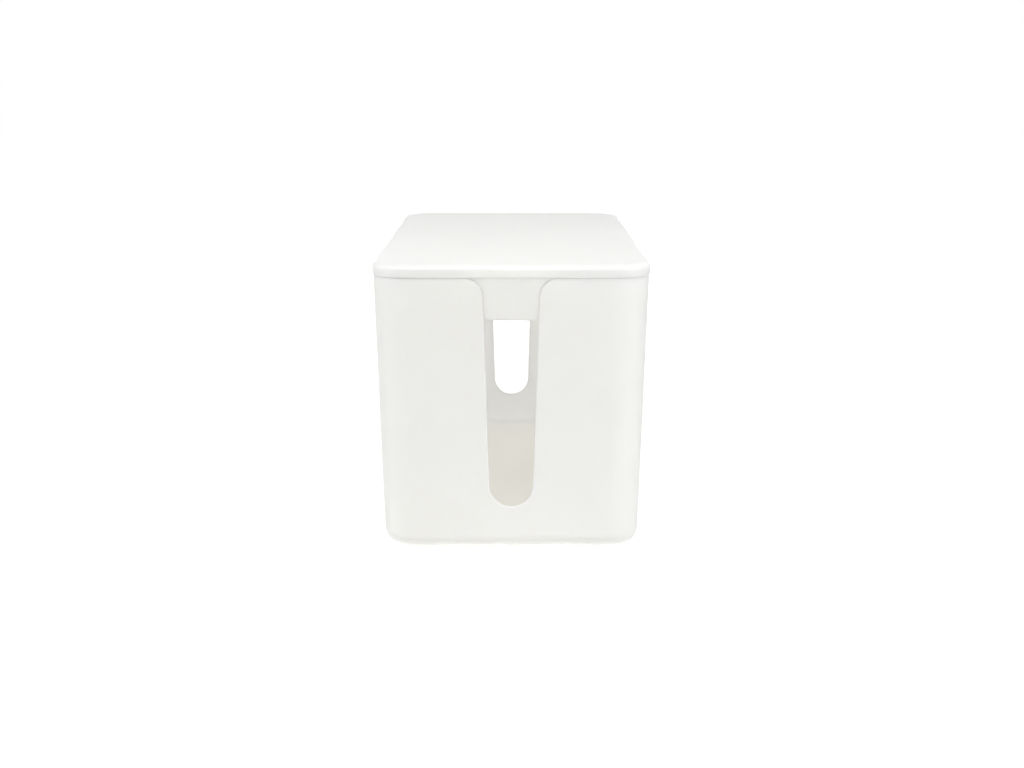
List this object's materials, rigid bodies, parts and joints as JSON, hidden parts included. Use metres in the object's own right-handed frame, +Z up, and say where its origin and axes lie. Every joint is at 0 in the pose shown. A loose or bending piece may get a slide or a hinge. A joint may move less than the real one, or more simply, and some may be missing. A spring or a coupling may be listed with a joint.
{
  "type": "cable management box",
  "caption": "Tapered open-topped box with a cable slot in each end, a lift-off lid whose tongues close the mouths of the slots, and round rubber feet.",
  "frame": {"origin": "on the ground, under the middle of the box", "axes": "+X across the box, to the right as seen from the front end; +Y along the box, from its front end to its rear end; +Z up"},
  "size_m": [0.115, 0.235, 0.1213],
  "materials": {
    "white_plastic": "white, fine satin moulding texture",
    "foot_rubber": "light grey, matt"
  },
  "bodies": {
    "box": {"box_body": "white_plastic", "foot_front_left": "foot_rubber", "foot_front_right": "foot_rubber", "foot_rear_left": "foot_rubber", "foot_rear_right": "foot_rubber"},
    "lid": {"lid": "white_plastic"}
  },
  "joints": [
    {"name": "lid_lift", "type": "slide", "parent": "box", "child": "lid", "axis": [0, 0, 1], "range_m": [0, 0.08]}
  ]
}
